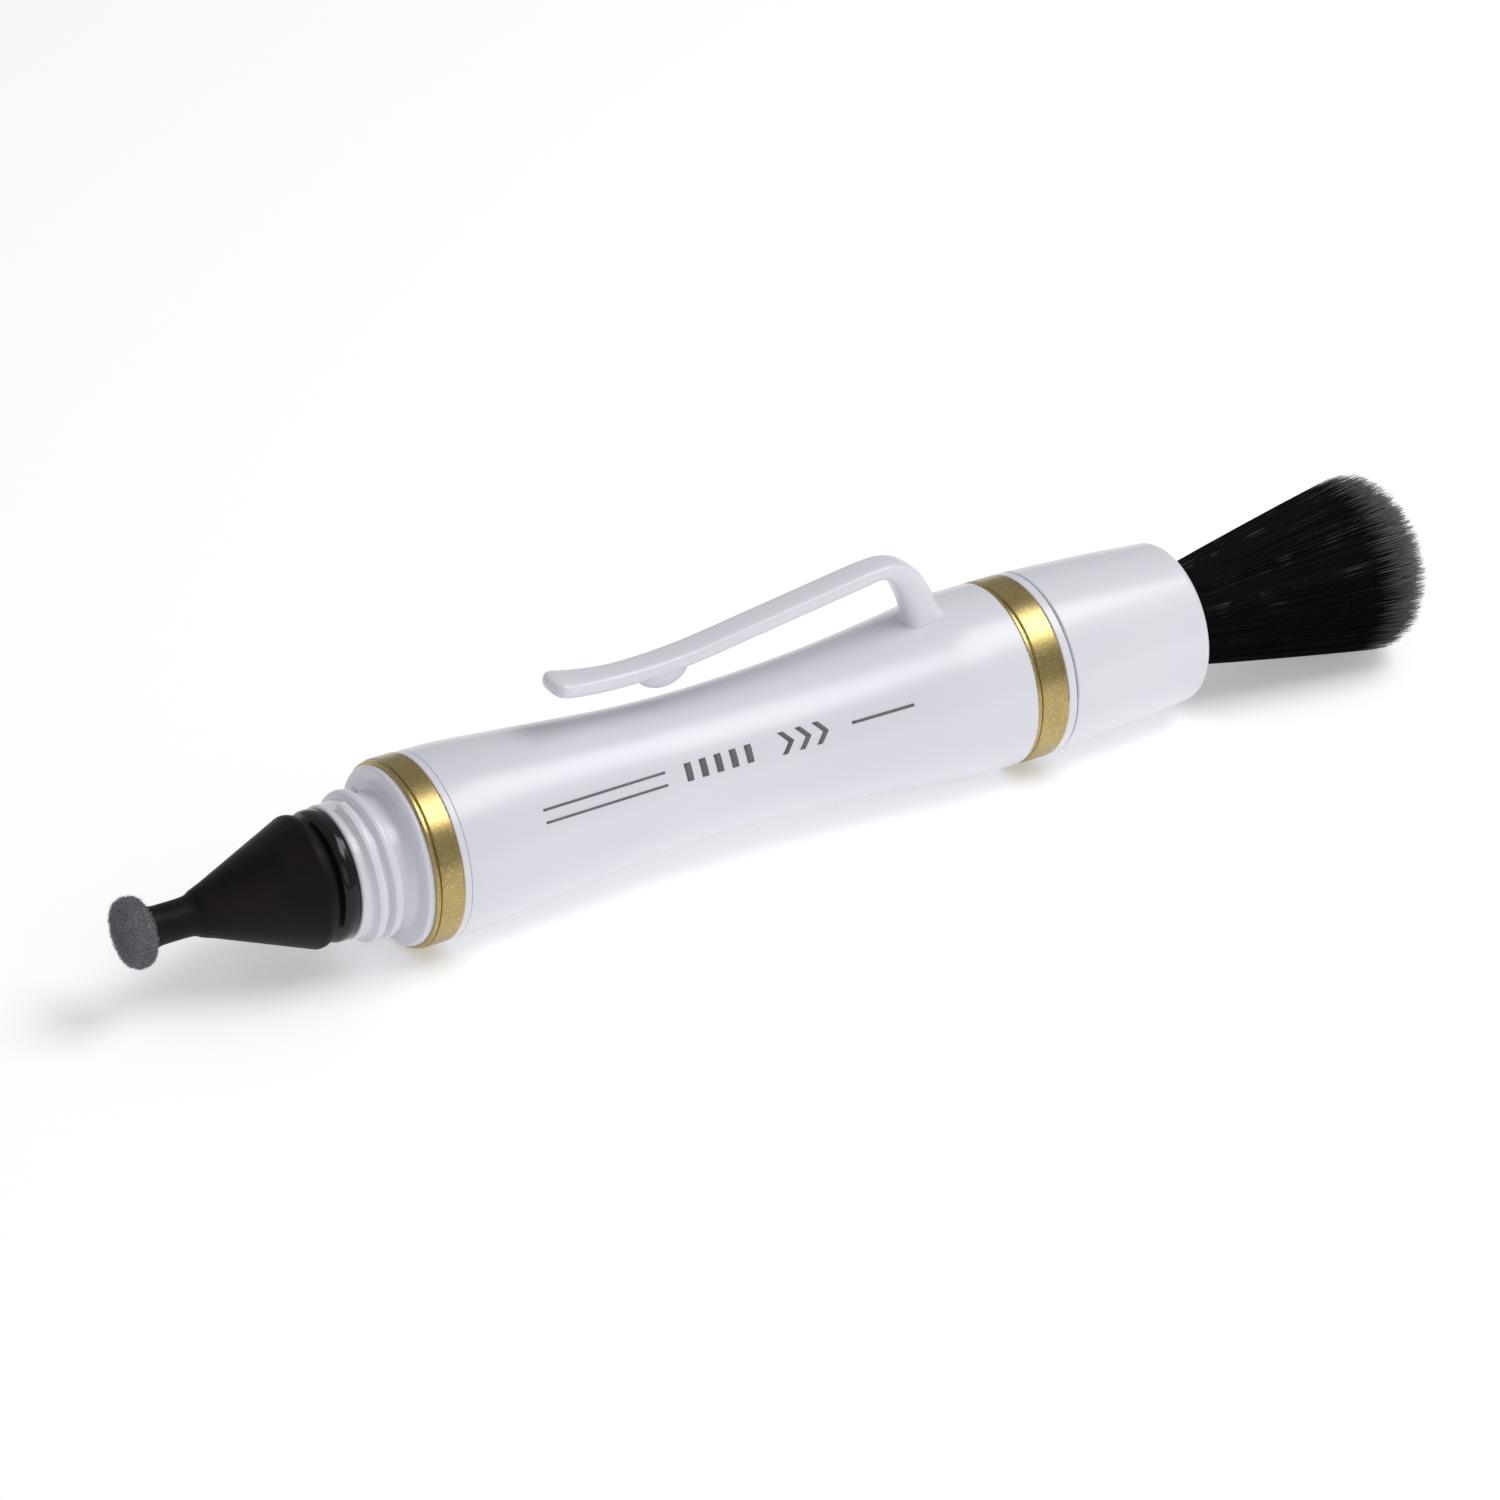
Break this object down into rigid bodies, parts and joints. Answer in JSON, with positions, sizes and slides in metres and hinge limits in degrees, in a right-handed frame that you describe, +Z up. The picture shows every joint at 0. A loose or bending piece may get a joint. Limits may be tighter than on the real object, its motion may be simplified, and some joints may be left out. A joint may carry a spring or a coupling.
{
  "type": "lens cleaning pen",
  "caption": "Slim waisted lens cleaning pen: flexing cleaning tip on a cone, threaded nose for a cap, spring clip, and a flared hair brush with a sliding sleeve.",
  "frame": {"origin": "on the pen's axis, in the shoulder face of the nose that the screw cap closes on", "axes": "+X along the pen from the cleaning tip to the brush, +Z up through the clip, +Y completes the right-handed frame"},
  "size_m": [0.0991, 0.0128, 0.0176],
  "materials": {
    "white_plastic": "glossy white moulded plastic with a faint cool tint",
    "gold_band": "satin gold plating with a fine grain",
    "black_gloss": "glossy black plastic",
    "black_matte": "matte black plastic with a faint brown tint",
    "black_rubber": "matte black rubber",
    "grey_pad": "mid-grey felt-like cleaning pad",
    "foam": "dark soft foam",
    "black_hair": "fine black hair with greyish tips",
    "steel": "plain steel",
    "aluminium": "plain aluminium",
    "resin": "amber binding resin"
  },
  "bodies": {
    "body": {"threaded_nose": "white_plastic", "front_band": "gold_band", "barrel": "white_plastic", "rear_band": "gold_band", "rear_bush": "white_plastic", "friction_ring": "black_rubber", "clip_post": "white_plastic", "rod_anchor": "white_plastic", "brush_rod": "steel", "ferrule": "aluminium", "hair_potting": "resin", "bristles": "black_hair", "tip_holder": "black_gloss", "tip_cone": "black_matte"},
    "sleeve": {"brush_sleeve": "white_plastic", "slide_tube": "white_plastic", "stop_ring": "steel"},
    "clip": {"clip_arm": "white_plastic"},
    "neck": {"neck": "black_rubber"},
    "head": {"pad_head": "black_rubber", "pad_cushion": "foam", "cleaning_pad": "grey_pad"}
  },
  "joints": [
    {"name": "sleeve_slide", "type": "slide", "parent": "body", "child": "sleeve", "axis": [1, 0, 0], "range_m": [0, 0.0196], "deforming": ["bristles"]},
    {"name": "clip_flex", "type": "hinge", "parent": "body", "child": "clip", "pos_m": [0.0362, 0, 0.01058], "axis": [0, 1, 0], "range_deg": [0, 6], "stiffness_Nm_per_rad": 0.4},
    {"name": "neck_swing", "type": "hinge", "parent": "body", "child": "neck", "pos_m": [-0.01428, 0, 0], "axis": [0, 0, 1], "range_deg": [-12, 12], "stiffness_Nm_per_rad": 0.01},
    {"name": "head_nod", "type": "hinge", "parent": "neck", "child": "head", "pos_m": [-0.01648, 0, 0], "axis": [0, 1, 0], "range_deg": [-10, 10], "stiffness_Nm_per_rad": 0.01}
  ]
}
